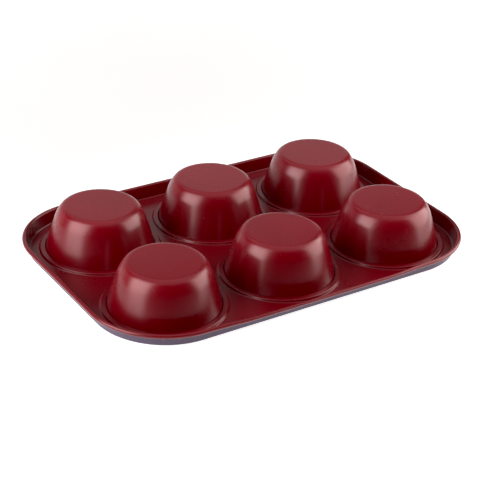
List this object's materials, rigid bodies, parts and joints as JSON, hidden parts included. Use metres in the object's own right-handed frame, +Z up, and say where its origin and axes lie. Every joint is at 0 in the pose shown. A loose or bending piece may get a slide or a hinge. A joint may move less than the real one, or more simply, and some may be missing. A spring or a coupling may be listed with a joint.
{
  "type": "muffin pan",
  "caption": "Rectangular muffin pan lying upside down: tapered round cups with bowed shoulders and flat bases seated in a stamped deck with a low leaning wall and a rolled, wired lip.",
  "frame": {"origin": "middle of the baking face, which lies on the ground with the cups standing up", "axes": "+X along the rows of cups, +Y from the front row to the back row, +Z up towards the cups' bases"},
  "size_m": [0.2656, 0.1826, 0.0303],
  "materials": {
    "deck_coat": "satin dark red baked coat outside, blue-grey non-stick coat on the baking side",
    "cup_coat": "satin dark red baked coat outside, blue-grey non-stick coat inside the cup",
    "wire_steel": "plain drawn steel wire"
  },
  "bodies": {
    "root": {"pan_deck": "deck_coat", "rim_wire": "wire_steel", "cup_front_left": "cup_coat", "cup_front_middle": "cup_coat", "cup_front_right": "cup_coat", "cup_back_left": "cup_coat", "cup_back_middle": "cup_coat", "cup_back_right": "cup_coat"}
  },
  "joints": []
}
